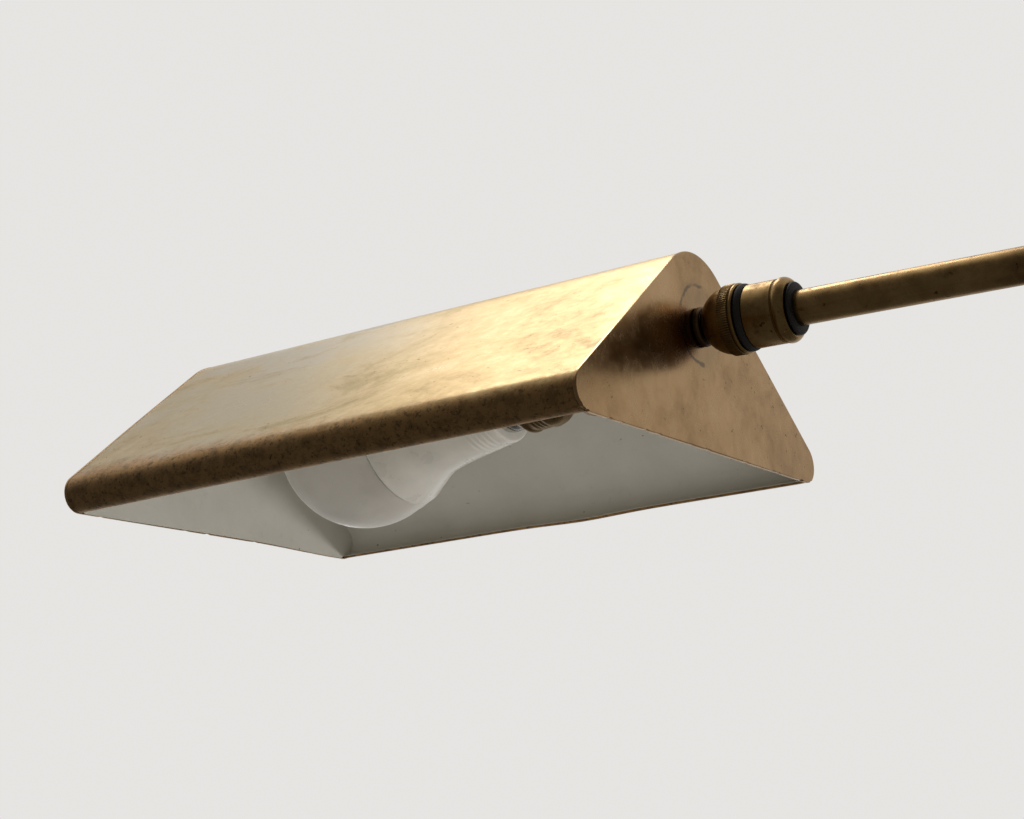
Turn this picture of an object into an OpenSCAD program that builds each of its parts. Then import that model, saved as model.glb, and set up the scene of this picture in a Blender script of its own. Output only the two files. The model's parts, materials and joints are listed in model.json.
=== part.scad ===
// Pharmacy floor lamp: a weighted round base, a telescoping pole, a tilting arm
// and a tent-shaped brass shade hung on a ball coupling, with its bulb inside.
// Origin: underside of the base on the pole axis. +Z is up, and the arm reaches along -X.

/* [Base] */
// Radius of the round base
base_radius = 125; // [100:1:160]
// Height of the base at its middle
base_height = 30; // [24:1:45]
// Height of the upright rim of the base
rim_height = 16; // [13:0.5:20]
// Thickness of the felt under the base
felt_thickness = 2.5; // [1:0.5:4]
// Thickness of the spun brass base cover
cover_thickness = 1.2; // [0.8:0.1:2]
// Radius of the hole through the cord bushing
cord_hole_radius = 3.2; // [2.5:0.1:4]

/* [Pole] */
// Height of the arm axis above the floor
arm_height = 1150; // [1080:5:1250]
// Height of the top of the fixed outer tube
outer_tube_top = 760; // [700:5:800]
// Outside radius of the outer tube
outer_tube_radius = 9.5; // [8.5:0.1:12]
// Wall of the outer tube
outer_tube_wall = 1.4; // [1:0.1:1.6]
// Outside radius of the sliding inner tube
inner_tube_radius = 6.35; // [5.5:0.05:6.6]
// Wall of the inner tube
inner_tube_wall = 1.0; // [0.8:0.1:1.5]
// Length of the inner tube left inside the outer tube at rest
tube_overlap = 330; // [320:5:380]

/* [Arm] */
// Distance from the pole axis to the shade's near plate
arm_reach = 330; // [250:5:420]
// Outside radius of the arm tube
arm_tube_radius = 5.55; // [4.5:0.05:6]
// Wall of the arm tube
arm_tube_wall = 0.9; // [0.7:0.1:1.2]
// Radius of the rounded knuckle cheeks
knuckle_radius = 10; // [9:0.5:12]
// Thickness of the flat knuckle tongue
tongue_thickness = 5; // [4:0.5:6]
// Radius of the knuckle pin
pin_radius = 3; // [2.5:0.25:3.5]

/* [Ball coupling] */
// Radius of the swivel ball
ball_radius = 9.2; // [8.5:0.1:11]
// Wall of the domed cap over the ball
cap_wall = 1.7; // [1.4:0.1:2.2]
// Height of the knurled ring over the cap
knurl_rise = 0.4; // [0.2:0.1:0.9]
// Number of teeth around the knurled ring
knurl_teeth = 92; // [60:1:110]
// Wall of the coupling body over the ball
coupling_wall = 0.9; // [0.8:0.1:1.3]
// Droop of the shade at the ball in degrees
shade_droop = 1.6; // [0:0.1:2]

/* [Shade] */
// Length of the shade
shade_length = 200; // [190:5:260]
// Width of the shade's section between its sharp corners
shade_base = 186; // [180:1:210]
// Slope of the two roof sides in degrees
roof_angle = 37.3; // [36:0.1:40]
// Radius of the lower corners that curl inward
lower_corner_radius = 6.6; // [5:0.1:9]
// Radius of the rounded ridge
ridge_radius = 24.8; // [20:0.1:30]
// Thickness of the bent shade sheet
sheet_thickness = 0.9; // [0.7:0.1:1.2]
// Thickness of the two end plates
plate_thickness = 1.2; // [0.9:0.1:1.6]
// Height of the stud axis above the shade's open bottom
stud_height = 39.8; // [38:0.1:42]
// Thickness of the white enamel inside
enamel_thickness = 0.2; // [0.2:0.05:0.3]

/* [Lampholder and bulb] */
// Downward lean of the lampholder from the stud axis in degrees
holder_lean = 6.4; // [5:0.1:7]
// Outside radius of the lampholder's cup
cup_radius = 16.5; // [15.5:0.1:17]
// Distance from the near plate to the end of the cup
cup_length = 46; // [42:1:60]
// Distance from the end of the cup to the bulb's neck
lampholder_length = 29.5; // [29.5:0.5:36]
// Radius of the bulb's dome
bulb_radius = 30; // [27:0.1:33]
// Distance from the bulb's neck to the centre of its dome
bulb_neck_length = 59; // [46:0.5:70]

/* [Hidden] */
running = 0.05; // radial clearance of a turning or sliding fit
gap = 0.3; // space left between pieces that move past each other
round_fn = 96;
plate_x = -arm_reach; // outer face of the shade's near plate
far_x = plate_x - shade_length; // outer face of the far plate
ball_x = plate_x + 12.4; // centre of the swivel ball
bottom_z = arm_height - stud_height; // open bottom of the shade
half_base = shade_base / 2;
tube_foot_z = base_height + 8;
inner_tube_foot_z = outer_tube_top - tube_overlap;
inner_tube_top = arm_height - 52;
guide_radius = outer_tube_radius - outer_tube_wall;
tongue_half = tongue_thickness / 2;
ear_inner = tongue_half + gap;
ear_outer = ear_inner + 4;
screw_z = outer_tube_top + 10; // axis of the height screw
dimmer_z = outer_tube_top - 100; // axis of the dimmer knob
gland_z = rim_height / 2 + 1;
neck_distance = cup_length + lampholder_length; // near plate to the bulb's neck
mouth_distance = neck_distance - 6.5; // near plate to the lampholder's mouth; the bulb's thread shows beyond it
bulb_centre_distance = neck_distance + bulb_neck_length;
cap_radius = ball_radius + cap_wall;
knurl_radius = cap_radius + knurl_rise;
coupling_radius = ball_radius + coupling_wall;
spigot_radius = coupling_radius - 0.2; // the cap is screwed onto this
bushing_radius = arm_tube_radius + 1.05; // journal that the coupling turns on
shoulder_end = 30.2 + 2.6 * sin(65); // coupling body's arm end, from the near plate
barrel_radius = arm_tube_radius + 2.45; // knuckle's end that holds the arm tube
collar_radius = outer_tube_radius + 3; // lock collar
foot_radius = outer_tube_radius + 4.5; // waist of the foot collar
sleeve_radius = outer_tube_radius + 3.5; // dimmer housing around the pole
weight_radius = base_radius - 5;
hub_radius = 24; // flat middle of the base cover

// ---------- shared shapes ----------

// Points of an arc about (x, y) from angle a to angle b
function arc(x, y, r, a, b, n = 16) =
    [for (i = [0 : n]) [x + r * cos(a + (b - a) * i / n), y + r * sin(a + (b - a) * i / n)]];

// Height of the base cover's top at radius r
function cover_top(r) =
    rim_height + (base_height - rim_height)
        * pow(1 - (r - hub_radius) / (base_radius - hub_radius), 1.7);

// Path around the shade's section, from the left lower edge over the ridge to the right one.
// The lower corners end where they are level with the open bottom.
corner_x = half_base - lower_corner_radius / tan(roof_angle / 2);
ridge_z = half_base * tan(roof_angle) - ridge_radius / cos(roof_angle);
function shade_path(inset, n = 12) = concat(
    arc(-corner_x, lower_corner_radius, lower_corner_radius - inset, 270, 90 + roof_angle, n),
    arc(0, ridge_z, ridge_radius - inset, 90 + roof_angle, 90 - roof_angle, 2 * n),
    arc(corner_x, lower_corner_radius, lower_corner_radius - inset, 90 - roof_angle, -90, n)
);

function reversed(list) = [for (i = [len(list) - 1 : -1 : 0]) list[i]];

// Cylinder along +X from x = from to x = to, on the arm axis
module along_arm(from, to, r) {
    translate([from, 0, arm_height])
        rotate([0, 90, 0])
            cylinder(h = to - from, r = r, $fn = round_fn);
}

// Cylinder along +Y from y = from to y = to, through (x, z)
module along_y(x, z, from, to, r) {
    translate([x, from, z])
        rotate([-90, 0, 0])
            cylinder(h = to - from, r = r, $fn = round_fn);
}

// Tube along +Z
module ring(z, height, outer, inner) {
    translate([0, 0, z])
        difference() {
            cylinder(h = height, r = outer, $fn = round_fn);
            translate([0, 0, -1])
                cylinder(h = height + 2, r = inner, $fn = round_fn);
        }
}

// Turned shape on the arm axis, whose profile gives [radius, distance from the near plate]
module turned_on_arm(profile) {
    translate([plate_x, 0, arm_height])
        rotate([0, 90, 0])
            rotate_extrude($fn = round_fn)
                polygon(profile);
}

// Droops what hangs on the ball about the ball's centre
module hung() {
    translate([ball_x, 0, arm_height])
        rotate([0, -shade_droop, 0])
            translate([-ball_x, 0, -arm_height])
                children();
}

// Puts its children on the leaning lampholder axis: +Z runs into the shade from the near plate
module on_holder_axis() {
    translate([plate_x, 0, arm_height])
        rotate([0, -90 - holder_lean, 0])
            children();
}

// Section extruded along X
module along_shade(from, to) {
    translate([from, 0, bottom_z])
        rotate([90, 0, 90])
            linear_extrude(height = to - from)
                children();
}

module knurl(r, teeth, depth) {
    polygon([
        for (i = [0 : 2 * teeth - 1])
            (r - depth * (i % 2)) * [cos(180 * i / teeth), sin(180 * i / teeth)]
    ]);
}

// ---------- base ----------

// Felt disc that the lamp stands on
module base_felt() {
    color("#2c3a2e")
        cylinder(h = felt_thickness, r = base_radius - 3, $fn = round_fn);
}

// Cast iron weight, recessed for the nut and channelled for the cord
module base_weight() {
    color("#3a3a3c")
        difference() {
            rotate_extrude($fn = round_fn)
                polygon(concat(
                    [[5, felt_thickness], [weight_radius, felt_thickness]],
                    [for (r = [weight_radius : -8 : 40]) [r, cover_top(r) - cover_thickness - 1]],
                    [[hub_radius, base_height - cover_thickness], [5, base_height - cover_thickness]]
                ));
            translate([0, 0, felt_thickness - 1])
                cylinder(h = 8.5, r = 13, $fn = round_fn);
            translate([8, -6, felt_thickness - 1])
                cube([base_radius, 12, gland_z + 4]);
        }
}

// Spun brass cover over the weight
module base_cover() {
    color("#a07c42")
        difference() {
            rotate_extrude($fn = round_fn)
                polygon(concat(
                    [[base_radius - cover_thickness, 1], [base_radius, 1]],
                    [[base_radius, rim_height - 3]],
                    arc(base_radius - 3, rim_height - 3, 3, 15, 75, 4),
                    [for (r = [base_radius - 5 : -6 : hub_radius + 2]) [r, cover_top(r)]],
                    [[hub_radius, base_height], [5, base_height], [5, base_height - cover_thickness]],
                    [[hub_radius, base_height - cover_thickness]],
                    reversed([
                        for (r = [base_radius - 5 : -6 : hub_radius + 2])
                            [r, cover_top(r) - cover_thickness]
                    ]),
                    [[base_radius - cover_thickness, rim_height - 3]]
                ));
            translate([base_radius - 10, 0, gland_z])
                rotate([0, 90, 0])
                    cylinder(h = 20, r = 4.6, $fn = round_fn);
        }
}

// Hexagon nut that holds the pole to the weight
module base_nut() {
    color("#b8b4a8")
        translate([0, 0, felt_thickness + 0.5])
            difference() {
                cylinder(h = 5, r = 9.5, $fn = 6);
                translate([0, 0, -1])
                    cylinder(h = 7, r = 5, $fn = round_fn);
            }
}

module base_washer() {
    color("#b8b4a8")
        ring(felt_thickness + 5.5, 2, 11, 5);
}

// Hollow threaded rod from the nut up into the foot collar
module base_nipple() {
    color("#b8b4a8")
        ring(felt_thickness + 0.3, tube_foot_z - felt_thickness - 0.3, 5, 3.6);
}

// Bushing in the back of the rim, through which the cord leaves
module cord_gland() {
    color("#231f1c")
        translate([0, 0, gland_z])
            rotate([0, 90, 0])
                difference() {
                    union() {
                        translate([0, 0, base_radius - 4.5])
                            cylinder(h = 6.5, r = 4.6, $fn = round_fn);
                        translate([0, 0, base_radius])
                            cylinder(h = 2, r = 6.2, $fn = round_fn);
                    }
                    translate([0, 0, base_radius - 6])
                        cylinder(h = 12, r = cord_hole_radius, $fn = round_fn);
                }
}

// ---------- pole ----------

// Turned collar between the base and the pole
module foot_collar() {
    color("#a07c42")
        rotate_extrude($fn = round_fn)
            polygon(concat(
                [[5, base_height], [foot_radius + 7, base_height], [foot_radius + 7, base_height + 2]],
                arc(foot_radius + 7, base_height + 9, 7, 270, 180, 8),
                [[foot_radius, base_height + 12], [foot_radius + 1, base_height + 13.5]],
                [[foot_radius, base_height + 15], [foot_radius - 2, base_height + 20]],
                [[outer_tube_radius, base_height + 21]],
                [[outer_tube_radius, tube_foot_z], [5, tube_foot_z]]
            ));
}

module outer_tube() {
    color("#8f6f3c")
        ring(tube_foot_z, outer_tube_top - tube_foot_z, outer_tube_radius, guide_radius);
}

// Plastic guide in the mouth of the outer tube
module guide_bush() {
    color("#e3dccb")
        union() {
            ring(outer_tube_top - 40, 40, guide_radius, inner_tube_radius + running);
            ring(outer_tube_top, 3, outer_tube_radius, inner_tube_radius + running);
        }
}

// Collar at the top of the outer tube, tapped for the height screw
module lock_collar() {
    color("#a07c42")
        difference() {
            translate([0, 0, outer_tube_top])
                rotate_extrude($fn = round_fn)
                    polygon([
                        [outer_tube_radius, -18], [collar_radius, -18], [collar_radius + 1, -17],
                        [collar_radius + 1, -14], [collar_radius, -13], [collar_radius, 13],
                        [collar_radius - 1, 16], [collar_radius - 3.5, 18], [inner_tube_radius + gap, 18],
                        [inner_tube_radius + gap, 3], [outer_tube_radius, 3]
                    ]);
            translate([0, 0, screw_z])
                rotate([0, 90, 0])
                    cylinder(h = 20, r = 2 + running, $fn = round_fn);
        }
}

// Knurled screw that clamps the inner tube
module lock_screw() {
    color("#a07c42")
        translate([0, 0, screw_z])
            rotate([0, 90, 0])
                union() {
                    translate([0, 0, inner_tube_radius + gap])
                        cylinder(h = collar_radius + 3.5 - inner_tube_radius, r = 2, $fn = round_fn);
                    translate([0, 0, collar_radius + 1.5])
                        cylinder(h = 3, r = 4, $fn = round_fn);
                    translate([0, 0, collar_radius + 4.5])
                        linear_extrude(height = 7)
                            knurl(8, 36, 0.5);
                    translate([0, 0, collar_radius + 11.5])
                        cylinder(h = 1.2, r = 6.5, $fn = round_fn);
                }
}

module inner_tube() {
    color("#8f6f3c")
        ring(inner_tube_foot_z, inner_tube_top - inner_tube_foot_z, inner_tube_radius,
            inner_tube_radius - inner_tube_wall);
}

// ---------- dimmer on the pole ----------

// Sleeve around the pole with a boss that holds the dimmer
module dimmer_housing() {
    color("#a07c42")
        difference() {
            union() {
                translate([0, 0, dimmer_z - 20])
                    cylinder(h = 40, r = sleeve_radius, $fn = round_fn);
                translate([0, 0, dimmer_z - 22])
                    cylinder(h = 44, r = sleeve_radius - 1.5, $fn = round_fn);
                along_y(0, dimmer_z, -27, 0, 12);
            }
            translate([0, 0, dimmer_z - 30])
                cylinder(h = 60, r = outer_tube_radius, $fn = round_fn);
            along_y(0, dimmer_z, -25, -outer_tube_radius, 10.5);
            along_y(0, dimmer_z, -30, -20, 3 + running);
        }
}

// Rotary dimmer inside the boss
module dimmer_module() {
    color("#3b4a3a")
        difference() {
            along_y(0, dimmer_z, -25, -14, 10.5);
            along_y(0, dimmer_z, -26, -16, 3 + running);
        }
}

// Knob and spindle
module dimmer_knob() {
    color("#a07c42")
        union() {
            along_y(0, dimmer_z, -29, -17, 3);
            along_y(0, dimmer_z, -30, -27.4, 8);
            translate([0, -29, dimmer_z])
                rotate([90, 0, 0])
                    linear_extrude(height = 9)
                        knurl(9.5, 40, 0.5);
            along_y(0, dimmer_z, -39.2, -38, 8);
        }
}

// ---------- knuckle ----------

// Turned foot on the inner tube, with the spindle that the head turns on
module swivel_base() {
    color("#a07c42")
        translate([0, 0, arm_height])
            rotate_extrude($fn = round_fn)
                polygon([
                    [0, -52], [inner_tube_radius, -52], [inner_tube_radius, -60], [8.2, -60], [9, -58],
                    [9, -50], [8, -48], [8, -46], [9.5, -44], [9.5, -38], [4, -38], [4, -17.5], [0, -17.5]
                ]);
}

// Ring that keeps the fork on its spindle
module swivel_clip() {
    color("#b8b4a8")
        ring(arm_height - 19.7, 1.7, 5.6, 4);
}

// Fork that turns on the spindle and holds the knuckle pin
module fork() {
    color("#8f6f3c")
        difference() {
            union() {
                translate([0, 0, arm_height - 38 + gap])
                    cylinder(h = 23 - gap, r = knuckle_radius, $fn = round_fn);
                for (side = [-1, 1])
                    along_y(0, arm_height, side > 0 ? ear_inner : -ear_outer,
                        side > 0 ? ear_outer : -ear_inner, knuckle_radius);
                for (side = [-1, 1])
                    translate([-knuckle_radius, side > 0 ? ear_inner : -ear_outer, arm_height - 16])
                        intersection() {
                            cube([2 * knuckle_radius, 4, 16]);
                            translate([knuckle_radius, side > 0 ? -ear_inner : ear_outer, 0])
                                cylinder(h = 16, r = knuckle_radius, $fn = round_fn);
                        }
            }
            translate([0, 0, arm_height - 50])
                cylinder(h = 40, r = 4 + running, $fn = round_fn);
            translate([0, 0, arm_height - 20])
                cylinder(h = 8, r = 6.2, $fn = round_fn);
            along_y(0, arm_height, -20, 20, pin_radius);
        }
}

// Knuckle pin, pressed into the fork's cheeks and threaded at both ends
module tilt_pin() {
    color("#b8b4a8")
        along_y(0, arm_height, -ear_outer - 9, ear_outer + 6, pin_radius);
}

module tilt_washer() {
    color("#231f1c")
        difference() {
            along_y(0, arm_height, ear_outer, ear_outer + 1, 6.5);
            along_y(0, arm_height, ear_outer - 1, ear_outer + 2, pin_radius);
        }
}

// Domed nut on the back end of the pin
module tilt_nut() {
    color("#a07c42")
        translate([0, ear_outer + 1, arm_height])
            rotate([-90, 0, 0])
                difference() {
                    union() {
                        cylinder(h = 4.5, r = 6, $fn = 6);
                        translate([0, 0, 4.5])
                            intersection() {
                                sphere(r = 5, $fn = round_fn);
                                cylinder(h = 6, r = 5, $fn = round_fn);
                            }
                    }
                    translate([0, 0, -1])
                        cylinder(h = 6, r = pin_radius, $fn = round_fn);
                }
}

// Knurled knob that sets the stiffness of the knuckle
module tilt_knob() {
    color("#a07c42")
        difference() {
            union() {
                along_y(0, arm_height, -ear_outer - 2.5, -ear_outer - gap, 5.5);
                translate([0, -ear_outer - 2.5, arm_height])
                    rotate([90, 0, 0])
                        linear_extrude(height = 8)
                            knurl(9.5, 40, 0.5);
                along_y(0, arm_height, -ear_outer - 11.7, -ear_outer - 10.5, 8);
            }
            along_y(0, arm_height, -ear_outer - 9.4, 0, pin_radius + running);
        }
}

// ---------- arm ----------

// Flat tongue between the cheeks, with the barrel that holds the arm tube
module arm_knuckle() {
    color("#8f6f3c")
        difference() {
            union() {
                along_y(0, arm_height, -tongue_half, tongue_half, knuckle_radius - 0.5);
                translate([-22, -tongue_half, arm_height - 6])
                    cube([22, tongue_thickness, 12]);
                translate([0, 0, arm_height])
                    rotate([0, -90, 0])
                        rotate_extrude($fn = round_fn)
                            polygon([
                                [0, 21], [barrel_radius - 1.5, 21], [barrel_radius, 22.5],
                                [barrel_radius, 40], [barrel_radius - 0.6, 41], [barrel_radius, 42],
                                [barrel_radius, 44], [barrel_radius - 1, 45], [0, 45]
                            ]);
            }
            along_y(0, arm_height, -10, 10, pin_radius + running);
            along_arm(-50, -26, arm_tube_radius);
        }
}

module arm_tube() {
    color("#a8874c")
        difference() {
            along_arm(plate_x + 26.8, -26, arm_tube_radius);
            along_arm(plate_x + 20, -20, arm_tube_radius - arm_tube_wall);
        }
}

// Black bushing on the arm's end, which the coupling turns on
module arm_bushing() {
    color("#1e1c1c")
        turned_on_arm([
            [arm_tube_radius, 26.8], [bushing_radius, 26.8], [bushing_radius, shoulder_end + gap],
            [bushing_radius + 1.5, shoulder_end + gap], [bushing_radius + 1.7, shoulder_end + 0.7],
            [bushing_radius + 1.5, shoulder_end + 1.3], [bushing_radius + 0.4, shoulder_end + 1.6],
            [arm_tube_radius, shoulder_end + 1.6]
        ]);
}

// ---------- ball coupling ----------

// Barrel that holds the back of the ball and turns on the arm
module coupling_body() {
    color("#a07c42")
        difference() {
            turned_on_arm(concat(
                [[0, 13], [spigot_radius, 13], [spigot_radius, 18.6]],
                [[coupling_radius - 0.4, 18.6], [coupling_radius, 19]],
                [[coupling_radius, 28.3], [coupling_radius - 0.4, 28.5]],
                arc(coupling_radius - 2.35, 30.2, 2.6, -33, 65, 10),
                [[0, shoulder_end]]
            ));
            translate([ball_x, 0, arm_height])
                sphere(r = ball_radius + running, $fn = round_fn);
            along_arm(plate_x + 14, plate_x + 30, 3);
            along_arm(plate_x + 26.5, plate_x + 40, bushing_radius + running);
        }
}

// Black friction ring between the cap and the body
module coupling_gasket() {
    color("#1e1c1c")
        turned_on_arm([
            [spigot_radius, 16.3], [cap_radius - 0.4, 16.3], [cap_radius - 0.2, 16.8],
            [cap_radius - 0.2, 18.1], [cap_radius - 0.5, 18.6], [spigot_radius, 18.6]
        ]);
}

// Domed cap that traps the ball, with a knurled grip and a plain lip
module knurled_cap() {
    color("#a07c42")
        difference() {
            union() {
                intersection() {
                    translate([ball_x, 0, arm_height])
                        sphere(r = cap_radius, $fn = round_fn);
                    along_arm(plate_x + 3.1, ball_x, 20);
                }
                translate([plate_x + 10.9, 0, arm_height])
                    rotate([90, 0, 90])
                        linear_extrude(height = 3.6)
                            knurl(knurl_radius, knurl_teeth, 0.35);
                turned_on_arm([
                    [ball_radius - 0.2, 12], [cap_radius - 0.1, 12], [cap_radius - 0.1, 14.7],
                    [cap_radius + 0.2, 14.9], [cap_radius + 0.3, 15.3], [cap_radius + 0.2, 15.8],
                    [cap_radius - 0.1, 16], [ball_radius - 0.2, 16]
                ]);
            }
            translate([ball_x, 0, arm_height])
                sphere(r = ball_radius + running, $fn = round_fn);
            along_arm(plate_x + 12.4, plate_x + 20, spigot_radius + running);
            translate([ball_x, 0, arm_height])
                rotate([0, -90, 0])
                    cylinder(h = 14, r1 = 0, r2 = 14 * tan(31.5), $fn = round_fn);
        }
}

// Ball with its hollow threaded stud, which holds the shade
module ball_stud() {
    color("#8f6f3c")
        hung()
            difference() {
                union() {
                    translate([ball_x, 0, arm_height])
                        sphere(r = ball_radius, $fn = round_fn);
                    along_arm(plate_x + 2.3, ball_x, 3);
                    along_arm(plate_x - 13, plate_x + 2.3, 5);
                }
                along_arm(plate_x - 20, plate_x + 30, 1.9);
            }
}

// One washer on each side of the near plate
module stud_washers() {
    color("#8f6f3c")
        hung()
            union() {
                difference() {
                    along_arm(plate_x + gap, plate_x + 2.3, 6.4);
                    along_arm(plate_x - 1, plate_x + 3, 5);
                }
                difference() {
                    along_arm(plate_x - plate_thickness - 2.8, plate_x - plate_thickness - 1.5 - gap, 8);
                    along_arm(plate_x - 10, plate_x, 5);
                }
            }
}

module stud_nut() {
    color("#b8b4a8")
        hung()
            translate([plate_x - plate_thickness - 6.8, 0, arm_height])
                rotate([0, 90, 0])
                    difference() {
                        cylinder(h = 4, r = 8, $fn = 6);
                        translate([0, 0, -1])
                            cylinder(h = 6, r = 5, $fn = round_fn);
                    }
}

// ---------- shade ----------

module near_plate() {
    color("#a3824c")
        hung()
            difference() {
                along_shade(plate_x - plate_thickness, plate_x)
                    polygon(shade_path(0));
                along_arm(plate_x - 5, plate_x + 5, 5 + running);
            }
}

module far_plate() {
    color("#a3824c")
        hung()
            along_shade(far_x, far_x + plate_thickness)
                polygon(shade_path(0));
}

// Sheet bent over the ridge and curled in at both lower edges
module shade_shell() {
    color("#b08d50")
        hung()
            along_shade(far_x + plate_thickness, plate_x - plate_thickness)
                polygon(concat(shade_path(0), reversed(shade_path(sheet_thickness))));
}

// White enamel on the inside of the sheet and of both end plates
module shade_enamel() {
    color("#cfcbc0")
        hung()
            difference() {
                along_shade(far_x + plate_thickness, plate_x - plate_thickness)
                    polygon(shade_path(sheet_thickness));
                along_shade(
                    far_x + plate_thickness + enamel_thickness,
                    plate_x - plate_thickness - enamel_thickness
                )
                    polygon(concat(
                        [[-corner_x, -5]],
                        shade_path(sheet_thickness + enamel_thickness),
                        [[corner_x, -5]]
                    ));
                along_arm(plate_x - 5, plate_x + 5, 17.5);
            }
}

// Round plate soldered inside the near plate to stiffen it around the stud
module backing_disc() {
    color("#8f6f3c")
        hung()
            difference() {
                along_arm(plate_x - plate_thickness - 1.5, plate_x - plate_thickness, 14);
                along_arm(plate_x - 5, plate_x + 5, 5 + running);
            }
}

// ---------- lampholder ----------

// Turned cup that covers the stud's nut and carries the lampholder
module holder_cup() {
    color("#8f6f3c")
        hung()
            difference() {
                on_holder_axis()
                    rotate_extrude($fn = round_fn)
                        polygon(concat(
                            [[cup_radius - 1.4, -3], [cup_radius, -3]],
                            arc(cup_radius - 3, cup_length - 3, 3, 0, 90, 6),
                            [[4.9, cup_length], [4.9, cup_length - 3], [cup_radius - 3.5, cup_length - 3]],
                            [[cup_radius - 1.4, cup_length - 5.5]]
                        ));
                translate([plate_x - plate_thickness, -30, arm_height - 30])
                    cube([20, 60, 60]);
            }
}

// Threaded tube between the cup and the lampholder
module holder_nipple() {
    color("#b8b4a8")
        hung()
            on_holder_axis()
                ring(cup_length - 6, 11, 4.9, 3.4);
}

// Brass shell of the lampholder, with a ribbed skirt and a beaded mouth
module lampholder_shell() {
    color("#8f6f3c")
        hung()
            on_holder_axis()
                rotate_extrude($fn = round_fn)
                    polygon(concat(
                        [[4.9, cup_length + 3], [7.5, cup_length + 3], [8.5, cup_length + 4]],
                        [[14.2, cup_length + 9], [15.4, cup_length + 11], [15.7, cup_length + 13]],
                        [[15.4, mouth_distance - 9.5], [14.9, mouth_distance - 8.5]],
                        [for (i = [0 : 2]) each [
                            [15.3, mouth_distance - 8 + 1.5 * i],
                            [14.9, mouth_distance - 7.2 + 1.5 * i]
                        ]],
                        arc(14.6, mouth_distance - 2.1, 0.9, -70, 90, 6),
                        [[14.2, mouth_distance - 1.2], [14.2, cup_length + 10.4]],
                        [[8.2, cup_length + 5], [4.9, cup_length + 5]]
                    ));
}

// Insulating sleeve between the shell and the screw contact
module lampholder_liner() {
    color("#d9cfb4")
        hung()
            on_holder_axis()
                ring(cup_length + 11, mouth_distance - cup_length - 13, 14.2, 13.7);
}

// Threaded metal sleeve that takes the bulb
module screw_shell() {
    color("#b08d50")
        hung()
            on_holder_axis()
                ring(cup_length + 11, mouth_distance - cup_length - 15, 13.7, 13.4);
}

// Springy tab that touches the bulb's tip
module centre_contact() {
    color("#b08d50")
        hung()
            on_holder_axis()
                translate([0, 0, cup_length + 6.4])
                    cylinder(h = neck_distance - 22.2 - gap - cup_length - 6.4, r = 3, $fn = round_fn);
}

// Insulating floor of the lampholder
module socket_base() {
    color("#d9cfb4")
        hung()
            on_holder_axis()
                rotate_extrude($fn = round_fn)
                    polygon([
                        [0, cup_length + 5], [8.2, cup_length + 5], [14.2, cup_length + 10.4],
                        [14.2, cup_length + 11], [13.4, cup_length + 11], [7.6, cup_length + 6.4],
                        [0, cup_length + 6.4]
                    ]);
}

// ---------- bulb ----------

// Profile of the bulb's cone: [radius, distance from the dome's centre towards the base].
// The shoulder follows the dome, and the length is stretched to reach the neck.
function cone_z(share) = 16.2 + share * (bulb_neck_length - 16.2);
cone_profile = [
    [bulb_radius - 3.5, 16.2], [bulb_radius - 6.5, cone_z(0.137)], [bulb_radius - 9.6, cone_z(0.26)],
    [18.9, cone_z(0.394)], [18.3, cone_z(0.485)], [17.6, cone_z(0.613)], [17, cone_z(0.742)],
    [16.5, cone_z(0.897)], [16.2, bulb_neck_length]
];

// Frosted dome
module bulb_dome() {
    color("#e4e3df")
        hung()
            on_holder_axis()
                translate([0, 0, bulb_centre_distance])
                    rotate([180, 0, 0])
                        rotate_extrude($fn = round_fn)
                            polygon(concat(
                                arc(0, 0, bulb_radius, -90, 19, 22),
                                [[bulb_radius - 2.6, 13.2], [bulb_radius - 3.5, 16.2]],
                                [[bulb_radius - 4.5, 16.2], [bulb_radius - 3.6, 12.9]],
                                arc(0, 0, bulb_radius - 1, 19, -90, 22)
                            ));
}

// White plastic cone
module bulb_cone() {
    color("#dcdad4")
        hung()
            on_holder_axis()
                translate([0, 0, bulb_centre_distance])
                    rotate([180, 0, 0])
                        rotate_extrude($fn = round_fn)
                            polygon(concat(
                                cone_profile,
                                [[11, bulb_neck_length]],
                                reversed([
                                    for (p = cone_profile) [p[0] - 1.6, min(p[1], bulb_neck_length - 2)]
                                ])
                            ));
}

// Screw base, drawn without its thread
module bulb_screw_base() {
    color("#bdb9ae")
        hung()
            on_holder_axis()
                ring(neck_distance - 18.4, 18.4, 13.1, 12.3);
}

module bulb_insulator() {
    color("#1b1b1d")
        hung()
            on_holder_axis()
                translate([0, 0, neck_distance - 18.4])
                    rotate([180, 0, 0])
                        rotate_extrude($fn = round_fn)
                            polygon([[0, -1.5], [12.3, -1.5], [12.3, 0], [5, 3], [0, 3]]);
}

module bulb_contact() {
    color("#bdb9ae")
        hung()
            on_holder_axis()
                translate([0, 0, neck_distance - 22.2])
                    cylinder(h = 0.8, r = 4, $fn = round_fn);
}

// Disc that carries the light sources inside the dome
module led_board() {
    color("#efece2")
        hung()
            on_holder_axis()
                translate([0, 0, bulb_centre_distance - 18.2])
                    cylinder(h = 1.6, r = bulb_radius - 6.3, $fn = round_fn);
}

// ---------- drawing ----------

base_felt();
base_weight();
base_cover();
base_nut();
base_washer();
base_nipple();
cord_gland();
foot_collar();
outer_tube();
guide_bush();
lock_collar();
lock_screw();
inner_tube();
dimmer_housing();
dimmer_module();
dimmer_knob();
swivel_base();
swivel_clip();
fork();
tilt_pin();
tilt_washer();
tilt_nut();
tilt_knob();
arm_knuckle();
arm_tube();
arm_bushing();
coupling_body();
coupling_gasket();
knurled_cap();
ball_stud();
stud_washers();
stud_nut();
near_plate();
far_plate();
shade_shell();
shade_enamel();
backing_disc();
holder_cup();
holder_nipple();
lampholder_shell();
lampholder_liner();
screw_shell();
centre_contact();
socket_base();
bulb_dome();
bulb_cone();
bulb_screw_base();
bulb_insulator();
bulb_contact();
led_board();
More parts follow.
